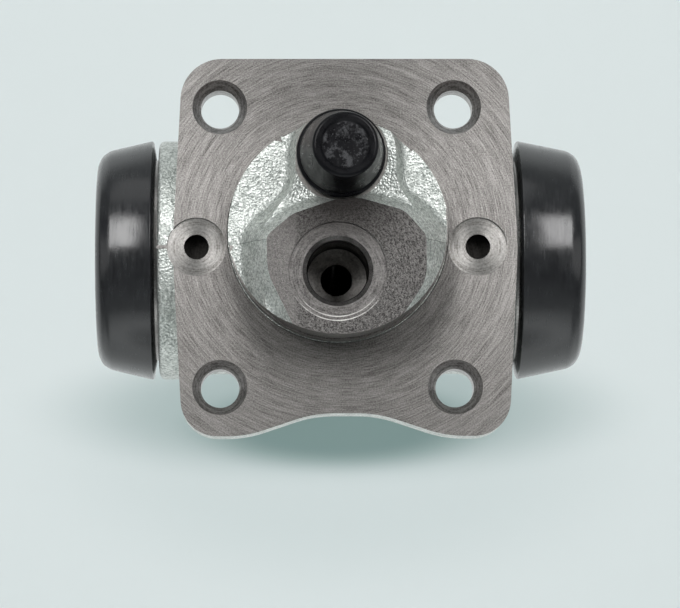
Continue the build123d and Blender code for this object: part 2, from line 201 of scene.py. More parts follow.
def coat(
    tree: Tree,
    shader: bpy.types.Node,
    colour: Socket,
    rough: Socket,
    *relief: tuple[Socket, float],
) -> None:
    """Gives a shader its colour, its roughness and the relief of its skin.

    Args:
        tree: The material's tree.
        shader: Its shader.
        colour: Base colour.
        rough: Roughness.
        *relief: Height of each layer, the lowest first, and its depth in millimetres.
    """
    tree.links.new(colour, shader.inputs["Base Color"])
    tree.links.new(rough, shader.inputs["Roughness"])
    below = {}
    for height, depth_mm in relief:
        links = {"Height": height, "Distance": depth_mm * MM, "Strength": 1.0, **below}
        below = {"Normal": add_node(tree, "Bump", links)}
    tree.links.new(below["Normal"], shader.inputs["Normal"])


@dataclass(frozen=True)
class TurnedMetal:
    """Metal cut on a lathe or by a drill. Fine arcs run round the tool's axis, catch the
    light as a fan, and hold a little dirt.

    The real feed marks are about 0.1 mm apart, under one pixel, so they are drawn at
    feed_mm, as coarse as the render needs.
    """

    name: str
    pale: str = "#b4b1ad"
    deep: str = "#7c7975"
    centre_mm: Point = (0, 0, 0)
    turn: Point = (0, 0, 0)
    folded: bool = False
    feed_mm: float = 0.30
    streaks: float = 5.0        # how often a mark breaks off on its way round
    bands_per_mark: float = 0.17
    banding: float = 0.4        # how much the broader bands of marks stand out
    calm: float = 0.35          # a smaller value gives more contrast
    roughness: float = 0.40
    rough_swing: float = 0.07   # deep marks are this much rougher, pale ones smoother
    rough_calm: float = 0.4
    stretch: float = 0.0        # how far the marks draw out a highlight
    mark_depth_mm: float = 0.012
    speck_mm: float = 0.35
    speck_depth_mm: float = 0.010

    def wear_and_painted_light(
        self, tree: Tree, colour: Socket, local: Socket, radius: Socket, heading: Socket
    ) -> Socket:
        """Leaves the colour as it is; the iron about the inlet has light and shade painted over it.
        """
        return colour

    def make(self) -> bpy.types.Material:
        """Builds the material.

        Returns:
            The finished material.
        """
        material, tree, shader = new_material(self.name)
        local = millimetres(tree, self.centre_mm, self.turn, self.folded)
        across = add_node(tree, "VectorMath", {0: local, 1: (1, 0, 1)}, operation="MULTIPLY")
        heading = add_node(tree, "VectorMath", {0: across}, operation="NORMALIZE")
        radius = add_node(tree, "VectorMath", {0: across}, operation="LENGTH")
        along = add_node(tree, "SeparateXYZ", {0: local}, gives="Y")
        travel = add_node(tree, "Math", {0: radius, 1: along}, operation="ADD")
        feed = add_node(tree, "Math", {0: travel, 1: 1 / self.feed_mm}, operation="MULTIPLY")
        rings = add_node(tree, "CombineXYZ", {"Y": feed})
        arc = add_node(tree, "VectorMath", {0: heading, "Scale": self.streaks}, operation="SCALE")
        path = add_node(tree, "VectorMath", {0: rings, 1: arc}, operation="ADD")
        marks, bands, specks = (
            add_node(
                tree,
                "TexNoise",
                {"Vector": place, "Scale": scale, "Detail": detail, "Roughness": crispness},
            )
            for place, scale, detail, crispness in (
                (path, 1.0, 3.0, 0.6),
                (path, self.bands_per_mark, 2.0, 0.5),
                (local, 1 / self.speck_mm, 3.0, 0.6),
            )
        )
        links = {0: bands, 1: self.banding, 2: marks}
        banded = add_node(tree, "Math", links, operation="MULTIPLY_ADD")
        mixed = add_node(tree, "Math", {0: banded, 1: specks}, operation="ADD")
        middle = 1.0 + self.banding / 2
        low, high = middle - self.calm, middle + self.calm
        tone = add_node(tree, "MapRange", {"Value": mixed, "From Min": low, "From Max": high})
        links = {"Factor": tone, "A": linear(self.deep), "B": linear(self.pale)}
        colour = add_node(tree, "Mix", links, data_type="RGBA")
        # for the iron about the inlet, painted light and shade go on here
        colour = self.wear_and_painted_light(tree, colour, local, radius, heading)
        links = {
            "Value": mixed,
            "From Min": middle - self.rough_calm,
            "From Max": middle + self.rough_calm,
            "To Min": self.roughness + self.rough_swing,
            "To Max": self.roughness - self.rough_swing,
        }
        rough = add_node(tree, "MapRange", links)
        relief = ((marks, self.mark_depth_mm), (specks, self.speck_depth_mm))
        coat(tree, shader, colour, rough, *relief)
        shader.inputs["Metallic"].default_value = 1.0
        shader.inputs["Anisotropic"].default_value = self.stretch
        if self.stretch:
            if self.folded:
                place = add_node(tree, "TexCoord", gives="Object")
                quarter = add_node(tree, "VectorMath", {0: place}, operation="SIGN")
                links = {0: heading, 1: quarter}
                heading = add_node(tree, "VectorMath", links, operation="MULTIPLY")
            tree.links.new(heading, shader.inputs["Tangent"])
        return material


@dataclass(frozen=True)
class PaintedLightMetal(TurnedMetal):
    """The turned iron about the inlet, with light and shade painted into its colour. A painted
    highlight lies in pieces along its edge, brighter on the lower half, where the edge faces up
    into the light, and painted shade darkens it under the bleed cap. Where a facet x is given,
    a painted sheen makes it paler to the left of that, where a facet catches more light."""

    glint_mm: float = 1.0                     # radius of the painted highlight on the edge
    glint_half_width_mm: float = 0.07
    glint_breaks: float = 5.0                 # how often it breaks off on its way round
    glint_levels: Pair = (1.0, 1.6)           # from dull to bright, higher lower down
    glint_strength: float = 0.7
    glint_colour: str = "#f4f2ee"
    sheen_mm: float | None = None
    sheen_edge_mm: float = 0.5
    sheen_strength: float = 0.4
    sheen_colour: str = "#807d7b"
    cap_shade_mm: Point = (0.6, 0, 11.0)        # middle of the painted shade under the bleed cap, from the inlet's axis
    cap_shade_half_mm: Point = (11.0, 50.0, 9.5)
    cap_shade_fade: Pair = (0.3, 1.1)
    cap_shade_strength: float = 0.9
    cap_shade_colour: str = "#242221"

    def wear_and_painted_light(
        self, tree: Tree, colour: Socket, local: Socket, radius: Socket, heading: Socket
    ) -> Socket:
        """Lays a painted sheen, painted shade under the cap and a painted highlight on the edge over
        the colour.

        Args:
            tree: Tree that gets the nodes.
            colour: Colour so far.
            local: Coordinates about the tool's axis.
            radius: Distance from that axis.
            heading: Direction away from it.

        Returns:
            The colour with all of them.
        """
        layers = []
        # painted sheen: paler to the left of the given x, where a facet catches more light
        if self.sheen_mm is not None:
            links = {
                "Value": add_node(tree, "SeparateXYZ", {0: local}, gives="X"),
                "From Min": self.sheen_mm - self.sheen_edge_mm,
                "From Max": self.sheen_mm + self.sheen_edge_mm,
                "To Min": self.sheen_strength,
                "To Max": 0.0,
            }
            layers.append((add_node(tree, "MapRange", links), self.sheen_colour))
        # painted shade under the bleed cap
        where = (self.cap_shade_mm, self.cap_shade_half_mm, self.cap_shade_fade)
        cap_shade = spot(tree, local, *where, most=self.cap_shade_strength)
        layers.append((cap_shade, self.cap_shade_colour))
        # painted highlight in pieces along the edge, brighter on the lower half, where the edge
        # faces up into the light
        links = {"Vector": heading, "Scale": self.glint_breaks, "Detail": 4.0, "Roughness": 0.7}
        broken = add_node(tree, "TexNoise", links)
        height = add_node(tree, "SeparateXYZ", {0: heading}, gives="Z")
        lowness = add_node(tree, "Math", {0: broken, 1: height}, operation="SUBTRACT")
        low, high = self.glint_levels
        links = {"Value": lowness, "From Min": low, "From Max": high, "To Max": self.glint_strength}
        bright = add_node(tree, "MapRange", links)
        links = {0: radius, 1: self.glint_mm, 2: self.glint_half_width_mm}
        edge = add_node(tree, "Math", links, operation="COMPARE")
        painted_glint = add_node(tree, "Math", {0: bright, 1: edge}, operation="MULTIPLY")
        layers.append((painted_glint, self.glint_colour))
        for cover, tint in layers:
            links = {"Factor": cover, "A": colour, "B": linear(tint)}
            colour = add_node(tree, "Mix", links, data_type="RGBA")
        return colour


@dataclass(frozen=True)
class CastSkin:
    """Zinc-plated iron casting. The sand's grain stays in the skin and glitters white
    where it faces the light, and turns grey where it faces away. A thin grey seam runs
    along its middle, where the halves of the mould met."""

    name: str = "zinc_plated_cast_iron"
    pale: str = "#dbdeda"
    deep: str = "#8f9490"
    shades: Pair = (0.50, 0.80)         # pattern levels from deep to pale
    grain_mm: float = 0.36
    grain_depth_mm: float = 0.10
    grain_levels: Pair = (0.3, 0.7)     # from rough to smooth
    lump_mm: float = 2.0
    lump_depth_mm: float = 0.08
    lump_shade: float = 0.3             # how much the lumps shade the skin beside its grain
    roughness: float = 0.42
    rough_swing: float = 0.1
    metallic: float = 0.85
    seam_half_width_mm: float = 0.05
    seam_wander_mm: float = 0.25
    seam_colour: str = "#7f837f"

    def make(self) -> bpy.types.Material:
        """Builds the material.

        Returns:
            The finished material.
        """
        material, tree, shader = new_material(self.name)
        local = millimetres(tree)
        grain, lumps = (
            add_node(
                tree,
                "TexNoise",
                {"Vector": local, "Scale": 1 / size, "Detail": detail, "Roughness": crispness},
            )
            for size, detail, crispness in ((self.grain_mm, 3.0, 0.65), (self.lump_mm, 2.0, 0.5))
        )
        links = {"Vector": local, "Scale": 1 / self.grain_mm, "Randomness": 1.0}
        facets = add_node(tree, "TexVoronoi", links)
        links = {0: lumps, 1: self.lump_shade, 2: grain}
        shade = add_node(tree, "Math", links, operation="MULTIPLY_ADD")
        low, high = self.shades
        tone = add_node(tree, "MapRange", {"Value": shade, "From Min": low, "From Max": high})
        links = {"Factor": tone, "A": linear(self.deep), "B": linear(self.pale)}
        skin = add_node(tree, "Mix", links, data_type="RGBA")
        height = add_node(tree, "SeparateXYZ", {0: local}, gives="Z")
        links = {"Value": lumps, "To Min": -self.seam_wander_mm, "To Max": self.seam_wander_mm}
        wander = add_node(tree, "MapRange", links)
        off_seam = add_node(tree, "Math", {0: height, 1: wander}, operation="ADD")
        links = {0: off_seam, 1: 0.0, 2: self.seam_half_width_mm}
        seam = add_node(tree, "Math", links, operation="COMPARE")
        links = {"Factor": seam, "A": skin, "B": linear(self.seam_colour)}
        colour = add_node(tree, "Mix", links, data_type="RGBA")
        low, high = self.grain_levels
        links = {
            "Value": grain,
            "From Min": low,
            "From Max": high,
            "To Min": self.roughness + self.rough_swing,
            "To Max": self.roughness - self.rough_swing,
        }
        rough = add_node(tree, "MapRange", links)
        sandy = ((grain, self.grain_depth_mm), (facets, self.grain_depth_mm))
        coat(tree, shader, colour, rough, (lumps, self.lump_depth_mm), *sandy)
        shader.inputs["Metallic"].default_value = self.metallic
        return material


@dataclass(frozen=True)
class Dust:
    """Pale dust on the outer end of a piece, in patches and in single grains."""

    centre_mm: Point
    radius_mm: float
    depth_mm: float
    amount: float
    colour: str = "#454547"
    roughness: float = 0.9
    patch_mm: float = 1.6
    patch_levels: Pair = (0.51, 0.62)   # from bare to covered
    grain_mm: float = 0.25
    grain_levels: Pair = (0.66, 0.72)
    fade: Pair = (0.92, 1.0)            # shares of the radius where the dust ends

    def cover(self, tree: Tree, local: Socket) -> Socket:
        """Tells how much dust lies on each place.

        Args:
            tree: Tree that gets the nodes.
            local: Coordinates in millimetres.

        Returns:
            Socket with that amount.
        """
        links = {"Vector": local, "Scale": 1 / self.patch_mm, "Detail": 6.0, "Roughness": 0.8}
        patch = add_node(tree, "TexNoise", links)
        links = {"Vector": local, "Scale": 1 / self.grain_mm, "Detail": 1.0}
        grit = add_node(tree, "TexNoise", links)
        patches, grains = (
            add_node(
                tree,
                "MapRange",
                {"Value": level, "From Min": low, "From Max": high, "To Max": self.amount},
            )
            for level, (low, high) in ((patch, self.patch_levels), (grit, self.grain_levels))
        )
        lying = add_node(tree, "Math", {0: patches, 1: grains}, operation="MAXIMUM")
        half_mm = (self.radius_mm, self.depth_mm, self.radius_mm)
        end = spot(tree, local, self.centre_mm, half_mm, self.fade)
        return add_node(tree, "Math", {0: lying, 1: end}, operation="MULTIPLY")


@dataclass(frozen=True)
class MouldedRubber:
    """Black rubber from a mould. It has a satin skin with faint mottling, fine scuffs
    round the bore where scuff_mm is above 0, and dust where a Dust is given."""

    name: str
    black: str = "#101012"
    wear_and_painted_light: str = "#1a1b1d"
    roughness: float = 0.42
    rough_swing: Pair = (-0.05, 0.07)
    rough_levels: Pair = (0.38, 0.62)   # mottling from satin to dull
    ior: float = 1.52
    shine: float = 0.5
    mottle_mm: float = 2.5
    mottle_levels: Pair = (0.3, 0.7)    # from black to worn
    skin_mm: float = 0.25
    skin_depth_mm: float = 0.004
    scuff_mm: float = 0.0               # width of a scuff
    scuff_length: float = 10.0          # its length in widths
    mottle_scuffs: float = 0.5          # share of the scuffs in the mottling
    skin_scuffs: float = 0.35           # and in the relief
    dust: Dust | None = None

    def make(self) -> bpy.types.Material:
        """Builds the material.

        Returns:
            The finished material.
        """
        material, tree, shader = new_material(self.name)
        local = millimetres(tree)
        mottle, skin = (
            add_node(
                tree,
                "TexNoise",
                {"Vector": local, "Scale": 1 / size, "Detail": detail, "Roughness": crispness},
            )
            for size, detail, crispness in ((self.mottle_mm, 4.0, 0.6), (self.skin_mm, 2.0, 0.5))
        )
        if self.scuff_mm:
            fine = 1 / self.scuff_mm
            coarse = fine / self.scuff_length
            links = {0: local, 1: (fine, coarse, coarse)}
            drawn = add_node(tree, "VectorMath", links, operation="MULTIPLY")
            scuffs = add_node(tree, "TexNoise", {"Vector": drawn, "Scale": 1.0, "Detail": 3.0})
            mottle, skin = (
                add_node(tree, "Mix", {"Factor": share, "A": pattern, "B": scuffs})
                for pattern, share in ((mottle, self.mottle_scuffs), (skin, self.skin_scuffs))
            )
        low, high = self.mottle_levels
        tone = add_node(tree, "MapRange", {"Value": mottle, "From Min": low, "From Max": high})
        links = {"Factor": tone, "A": linear(self.black), "B": linear(self.wear_and_painted_light)}
        colour = add_node(tree, "Mix", links, data_type="RGBA")
        low, high = self.rough_levels
        satin, dull = (self.roughness + swing for swing in self.rough_swing)
        links = {"Value": mottle, "From Min": low, "From Max": high, "To Min": satin, "To Max": dull}
        rough = add_node(tree, "MapRange", links)
        if self.dust:
            cover = self.dust.cover(tree, local)
            links = {"Factor": cover, "A": colour, "B": linear(self.dust.colour)}
            colour = add_node(tree, "Mix", links, data_type="RGBA")
            rough = add_node(tree, "Mix", {"Factor": cover, "A": rough, "B": self.dust.roughness})
        coat(tree, shader, colour, rough, (skin, self.skin_depth_mm))
        shader.inputs["IOR"].default_value = self.ior
        shader.inputs["Specular IOR Level"].default_value = self.shine
        return material


@dataclass
class StudioCamera:
    """The photograph's viewpoint: in front of the flange and a little below it."""

    place_mm: Point = (-9.8, -550.0, -63.6)
    yaw: float = 1.06           # degrees towards +X
    pitch: float = 5.71         # degrees up
    roll: float = -0.19
    focal_px: float = 3715.0
    image_px: tuple[int, int] = (680, 608)
    sensor_mm: float = 36.0
    clip: Pair = (0.05, 20.0)   # nearest and farthest that it sees, in metres

    def axes(self) -> tuple[Vector, Vector, Vector]:
        """Works out how the camera is turned.

        Returns:
            Its right, up and forward directions.
        """
        yaw, pitch, roll = (math.radians(a) for a in (self.yaw, self.pitch, self.roll))
        level = Vector((math.cos(yaw), -math.sin(yaw), 0))
        share = math.cos(pitch)
        ahead = Vector((math.sin(yaw) * share, math.cos(yaw) * share, math.sin(pitch)))
        upright = level.cross(ahead)
        right = math.cos(roll) * level + math.sin(roll) * upright
        up = -math.sin(roll) * level + math.cos(roll) * upright
        return right, up, ahead

    def point_at(self, pixel: Pair, depth: float) -> Vector:
        """Finds what a pixel of the photograph shows on an upright plane.

        Args:
            pixel: Column and row in the photograph.
            depth: The plane's y, in metres.

        Returns:
            The point on that plane.
        """
        right, up, ahead = self.axes()
        across = (pixel[0] - self.image_px[0] / 2) / self.focal_px
        down = (pixel[1] - self.image_px[1] / 2) / self.focal_px
        ray = ahead + across * right - down * up
        start = Vector(self.place_mm) * MM
        return start + ray * ((depth - start.y) / ray.y)

    def build(self) -> None:
        """Adds the camera and makes it the scene's."""
        right, up, ahead = self.axes()
        data = bpy.data.cameras.new("camera")
        data.sensor_fit = "HORIZONTAL"
        data.sensor_width = self.sensor_mm
        data.lens = self.sensor_mm * self.focal_px / self.image_px[0]
        data.clip_start, data.clip_end = self.clip
        camera = bpy.data.objects.new("camera", data)
        turned = Matrix((right, up, -ahead)).transposed().to_4x4()
        camera.matrix_world = Matrix.Translation(Vector(self.place_mm) * MM) @ turned
        bpy.context.collection.objects.link(camera)
        bpy.context.scene.camera = camera


@dataclass(frozen=True)
class Shade:
    """A soft grey patch on the wall of the sweep, at its place in the photograph."""

    middle_px: Pair
    half_px: Pair
    colour: str
    softness: float             # share of its size by which its edge is blurred either way
    depth: float = 10.0         # so deep that only its outline on the wall counts

    def on_wall(self, camera: StudioCamera, wall_depth: float) -> tuple[Vector, Vector]:
        """Finds the patch on the wall.

        Args:
            camera: The photograph's viewpoint.
            wall_depth: The wall's y, in metres.

        Returns:
            Its centre and its half size.
        """
        per_pixel = (wall_depth - camera.place_mm[1] * MM) / camera.focal_px
        across, tall = self.half_px
        half = Vector((across * per_pixel, self.depth, tall * per_pixel))
        return camera.point_at(self.middle_px, wall_depth), half


@dataclass(frozen=True)
class PaperSweep:
    """Matt pale paper under and behind the part. Soft grey patches stand for the shade
    that the part throws on it. From beneath, the floor is see-through."""

    name: str = "pale_matt_paper"
    paper: str = "#e4e8e8"
    cloudy: str = "#e2e6e6"
    clouds_per_metre: float = 6.0
    roughness: float = 0.9
    shades: tuple[Shade, ...] = (
        Shade(middle_px=(340, 450), half_px=(250, 120), colour="#f4f6f6", softness=0.5),
        Shade(middle_px=(335, 410), half_px=(240, 58), colour="#d3dbda", softness=0.45),
        Shade(middle_px=(340, 426), half_px=(130, 38), colour="#bac8c6", softness=0.45),
    )

    def make(self, camera: StudioCamera, wall_depth: float) -> bpy.types.Material:
        """Builds the material.

        Args:
            camera: Viewpoint that places the shade on the wall.
            wall_depth: The wall's y, in metres.

        Returns:
            The finished material.
        """
        material, tree, shader = new_material(self.name)
        place = add_node(tree, "TexCoord", gives="Object")
        links = {"Vector": place, "Scale": self.clouds_per_metre, "Detail": 2.0}
        clouds = add_node(tree, "TexNoise", links)
        links = {"Factor": clouds, "A": linear(self.cloudy), "B": linear(self.paper)}
        colour = add_node(tree, "Mix", links, data_type="RGBA")
        for shade in self.shades:
            middle, half = shade.on_wall(camera, wall_depth)
            fade = (1.0 - shade.softness, 1.0 + shade.softness)
            cover = spot(tree, place, middle, half, fade, interpolation_type="SMOOTHERSTEP")
            links = {"Factor": cover, "A": colour, "B": linear(shade.colour)}
            colour = add_node(tree, "Mix", links, data_type="RGBA", blend_type="MULTIPLY")
        tree.links.new(colour, shader.inputs["Base Color"])
        shader.inputs["Roughness"].default_value = self.roughness
        shader.inputs["Specular IOR Level"].default_value = 0.0
        behind = add_node(tree, "NewGeometry", gives="Backfacing")
        clear = add_node(tree, "BsdfTransparent")
        both = add_node(tree, "MixShader", {0: behind, 1: shader.outputs[0], 2: clear})
        tree.links.new(both, tree.nodes["Material Output"].inputs["Surface"])
        return material


@dataclass
class SoftBox:
    """A soft studio light: a glowing rectangle that only its reflections show."""

    name: str
    azimuth: float              # degrees round the part, 0 in front of it, 90 to its right
    elevation: float            # degrees above it
    width: float
    height: float
    glow: float
    distance: float = 0.9

    @property
    def place(self) -> Vector:
        """Works out where the middle of the box stands.

        Returns:
            That place, in metres.
        """
        round_, up = math.radians(self.azimuth), math.radians(self.elevation)
        way = (math.sin(round_) * math.cos(up), -math.cos(round_) * math.cos(up), math.sin(up))
        return Vector(way) * self.distance

    def build(self) -> None:
        """Adds the light, aimed at the part."""
        data = bpy.data.lights.new(self.name, "AREA")
        data.shape = "RECTANGLE"
        data.size, data.size_y = self.width, self.height
        data.energy = self.glow * self.width * self.height * math.pi
        light = bpy.data.objects.new(self.name, data)
        aim = (-self.place).to_track_quat("-Z", "Y").to_matrix().to_4x4()
        light.matrix_world = Matrix.Translation(self.place) @ aim
        light.visible_camera = False
        bpy.context.collection.objects.link(light)


@dataclass
class Studio:
    """Pale sweep, soft lights and the room's own glow."""

    floor_level: float = -0.115
    wall_depth: float = 1.15
    front_edge: float = -2.2
    wall_top: float = 2.2
    half_width: float = 2.6
    bend: float = 0.07
    bend_steps: int = 16
    glow: float = 2.0
    air: str = "#9ea2a2"
    behind: str = "#b4b8b8"
    behind_from: Pair = (0.0, 0.5)      # reflections turn to it as they look this far back
    # what reflections see in front, from straight below (0) to straight above (1)
    cloth: tuple[tuple[float, str], ...] = (
        (0.0, "#989c9c"),
        (0.03, "#e4e8e8"),
        (0.10, "#7c8080"),
        (0.31, "#464848"),
        (0.45, "#4a4c4c"),
        (0.75, "#565959"),
        (0.90, "#6c7070"),
        (1.0, "#747878"),
    )
    boxes: tuple[SoftBox, ...] = (
        SoftBox("window_left", azimuth=-27, elevation=22, width=0.35, height=0.44, glow=9.2),
        SoftBox("window_right", azimuth=28, elevation=22, width=0.35, height=0.44, glow=8.3),
        SoftBox("side_left", azimuth=-60, elevation=2, width=0.80, height=0.40, glow=0.7),
        SoftBox("side_right", azimuth=60, elevation=0, width=0.80, height=0.40, glow=0.8),
        SoftBox("overhead", azimuth=-25, elevation=66, width=0.60, height=0.45, glow=0.7),
    )

    def build_sweep(self, camera: StudioCamera) -> None:
        """Makes the floor and the wall behind in one bent sheet.

        Args:
            camera: Viewpoint that places the shade on the wall.
        """
        sheet = bmesh.new()
        bmesh.ops.create_grid(sheet, x_segments=1, y_segments=1, size=1.0)
        depth = self.wall_depth - self.front_edge
        middle = (self.wall_depth + self.front_edge) / 2
        bmesh.ops.scale(sheet, vec=(self.half_width, depth / 2, 1), verts=sheet.verts)
        bmesh.ops.translate(sheet, vec=(0, middle, self.floor_level), verts=sheet.verts)
        back = [e for e in sheet.edges if all(v.co.y > middle for v in e.verts)]
        grown = bmesh.ops.extrude_edge_only(sheet, edges=back)["geom"]
        rise = [v for v in grown if isinstance(v, bmesh.types.BMVert)]
        bmesh.ops.translate(sheet, vec=(0, 0, self.wall_top - self.floor_level), verts=rise)
        fold = [e for e in sheet.edges if all(v.co.y > middle and v.co.z < 0 for v in e.verts)]
        bmesh.ops.bevel(
            sheet,
            geom=fold,
            offset=self.bend,
            offset_type="OFFSET",
            segments=self.bend_steps,
            profile=0.5,
            affect="EDGES",
            material=-1,
        )
        bmesh.ops.recalc_face_normals(sheet, faces=sheet.faces)
        floor = min(sheet.faces, key=lambda face: face.calc_center_median().z)
        if floor.normal.z < 0:
            bmesh.ops.reverse_faces(sheet, faces=sheet.faces)
        for face in sheet.faces:
            face.smooth = True
        data = bpy.data.meshes.new("sweep")
        sheet.to_mesh(data)
        sheet.free()
        sweep = bpy.data.objects.new("sweep", data)
        bpy.context.collection.objects.link(sweep)
        sweep.visible_glossy = False
        data.materials.append(PaperSweep().make(camera, self.wall_depth))

    def build_lights(self) -> None:
        """Adds the soft boxes round the part."""
        for box in self.boxes:
            box.build()

    def build_room(self) -> None:
        """Gives the room a pale glow. Reflections see it with black cloth hung in front
        of the part, as a studio has round shiny metal."""
        world = bpy.data.worlds.new("room")
        world.use_nodes = True
        tree = world.node_tree
        way = add_node(tree, "TexCoord", gives="Generated")
        height = add_node(tree, "SeparateXYZ", {0: way}, gives="Z")
        level = add_node(tree, "MapRange", {"Value": height, "From Min": -1.0})
        in_front = add_node(tree, "ValToRGB", {"Fac": level})
        ramp = in_front.node.color_ramp
        for _ in self.cloth[2:]:
            ramp.elements.new(0.5)
        for stop, (place, tone) in zip(ramp.elements, self.cloth):
            stop.position = place
            stop.color = linear(tone)
        start, end = self.behind_from
        links = {"Value": height.node.outputs["Y"], "From Min": start, "From Max": end}
        past = add_node(tree, "MapRange", links, interpolation_type="SMOOTHSTEP")
        links = {"Factor": past, "A": in_front, "B": linear(self.behind)}
        seen = add_node(tree, "Mix", links, data_type="RGBA")
        shiny = add_node(tree, "LightPath", gives="Is Glossy Ray")
        links = {"Factor": shiny, "A": linear(self.air), "B": seen}
        colour = add_node(tree, "Mix", links, data_type="RGBA")
        tree.links.new(colour, tree.nodes["Background"].inputs["Color"])
        tree.nodes["Background"].inputs["Strength"].default_value = self.glow
        bpy.context.scene.world = world
        bpy.context.scene.view_settings.view_transform = "Standard"


def dress(node: str, *materials: bpy.types.Material) -> bpy.types.Object:
    """Gives a solid of the frame its materials.

    Args:
        node: The solid's name.
        *materials: One material for each finish on it.

    Returns:
        The solid's object.
    """
    piece = frame["nodes"][node]
    piece.data.materials.clear()
    for material in materials:
        piece.data.materials.append(material)
    return piece


def finish_piece(
    name: str, shape: bmesh.types.BMesh, material: bpy.types.Material
) -> bpy.types.Object:
    """Turns a finished shape into a piece of the part.

    Args:
        name: The piece's name.
        shape: Its mesh, which is used up.
        material: Its finish.

    Returns:
        The new piece.
    """
    for face in shape.faces:
        face.smooth = True
    data = bpy.data.meshes.new(name)
    shape.to_mesh(data)
    shape.free()
    data.set_sharp_from_angle(angle=math.radians(CREASE_DEG))
    data.materials.append(material)
    piece = bpy.data.objects.new(name, data)
    bpy.context.collection.objects.link(piece)
    LOG.info("%s: %d faces", name, len(data.polygons))
    return piece


class Region(Enum):
    """How each surface of the casting is finished."""

    CAST = 0
    FACE = 1
    BOLT_HOLE = 2
    DOWEL_HOLE = 3
    PORT = 4
    PORT_FLAT = 5
    PORT_WALL = 6
    PORT_CONE = 7
    SEAT = 8
    BORE = 9


